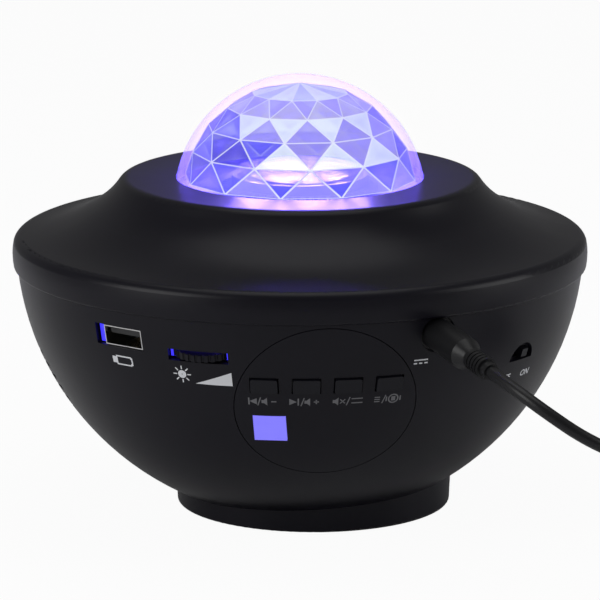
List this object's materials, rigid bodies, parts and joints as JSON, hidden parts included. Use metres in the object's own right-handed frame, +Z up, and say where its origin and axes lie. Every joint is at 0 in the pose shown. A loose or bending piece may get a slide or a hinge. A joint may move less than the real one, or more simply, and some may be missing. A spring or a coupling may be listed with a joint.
{
  "type": "star night light projector",
  "caption": "Round black night light and speaker with a clear faceted dome, a wide brim, a bowl-shaped body and a trailing power cord.",
  "frame": {"origin": "on the floor under the axis of the dome, lid and bowl", "axes": "+Z up along that axis, -Y towards the control panel, +X to the right of the panel as seen from the front"},
  "size_m": [0.323, 0.2051, 0.1249],
  "materials": {
    "black_shell": "fine satin black moulding",
    "black_key": "satin black moulding",
    "clear_dome": "clear moulded plastic with facets inside",
    "clear_lens": "clear rippled plastic",
    "white_plastic": "white moulding",
    "lit_window": "translucent window, lit from behind",
    "dark_plastic": "black nylon",
    "circuit_board": "green solder mask",
    "bright_metal": "nickel plated",
    "screw_steel": "zinc plated",
    "motor_can": "drawn steel can",
    "lamp": "lamp chips under clear beads",
    "paper_cone": "black paper cone",
    "rubber": "soft rubber",
    "cord_jacket": "black flexible jacket"
  },
  "bodies": {
    "housing": {"lower_housing": "black_shell", "upper_housing": "black_shell", "bottom_cover": "black_shell", "control_panel": "black_shell", "dome_cover": "clear_dome", "lens_deck": "white_plastic", "ir_window": "lit_window", "ir_receiver": "dark_plastic", "dc_jack": "dark_plastic", "power_switch_body": "dark_plastic", "dimmer_body": "dark_plastic", "usb_tongue": "dark_plastic", "tact_switches": "dark_plastic", "speaker_frame": "dark_plastic", "speaker_magnet": "dark_plastic", "panel_board": "circuit_board", "main_board": "circuit_board", "led_board": "circuit_board", "usb_socket": "bright_metal", "dc_jack_pin": "bright_metal", "plug_barrel": "bright_metal", "usb_plug_shell": "bright_metal", "laser_module": "bright_metal", "cover_screws": "screw_steel", "deck_screws": "screw_steel", "board_screws": "screw_steel", "lens_motor": "motor_can", "led_emitters": "lamp", "speaker_cone": "paper_cone", "foot_pads": "rubber", "power_plug": "cord_jacket", "power_cord": "cord_jacket", "power_cord_coil": "cord_jacket", "usb_plug": "cord_jacket"},
    "previous_key": {"button_previous": "black_key"},
    "next_key": {"button_next": "black_key"},
    "mode_key": {"button_mode": "black_key"},
    "light_key": {"button_light": "black_key"},
    "brightness_dial": {"brightness_wheel": "black_shell"},
    "power_slider": {"power_switch_knob": "black_key"},
    "lens_wheel": {"lens_gear": "white_plastic", "effect_lens": "clear_lens"},
    "pinion": {"drive_pinion": "white_plastic", "motor_shaft": "bright_metal"}
  },
  "joints": [
    {"name": "previous_press", "type": "slide", "parent": "housing", "child": "previous_key", "axis": [0.2117, 0.9227, 0.3223], "range_m": [0, 0.0003], "stiffness_N_per_m": 2000},
    {"name": "next_press", "type": "slide", "parent": "housing", "child": "next_key", "axis": [0.0706, 0.944, 0.3223], "range_m": [0, 0.0003], "stiffness_N_per_m": 2000},
    {"name": "mode_press", "type": "slide", "parent": "housing", "child": "mode_key", "axis": [-0.0706, 0.944, 0.3223], "range_m": [0, 0.0003], "stiffness_N_per_m": 2000},
    {"name": "light_press", "type": "slide", "parent": "housing", "child": "light_key", "axis": [-0.2117, 0.9227, 0.3223], "range_m": [0, 0.0003], "stiffness_N_per_m": 2000},
    {"name": "brightness_turn", "type": "hinge", "parent": "housing", "child": "brightness_dial", "pos_m": [-0.03092, -0.06255, 0.06211], "axis": [-0.1019, -0.2062, 0.9732], "range_deg": [-135, 135]},
    {"name": "power_slide", "type": "slide", "parent": "housing", "child": "power_slider", "axis": [0.6807, 0.7325, 0], "range_m": [-0.003, 0]},
    {"name": "lens_turn", "type": "hinge", "parent": "housing", "child": "lens_wheel", "pos_m": [0, 0, 0.0927], "axis": [0, 0, 1], "continuous": true},
    {"name": "pinion_turn", "type": "hinge", "parent": "housing", "child": "pinion", "pos_m": [0, 0.0264, 0.0927], "axis": [0, 0, 1], "continuous": true}
  ],
  "couplings": [
    {"joint": "pinion_turn", "follows": "lens_turn", "ratio": -4.5}
  ]
}
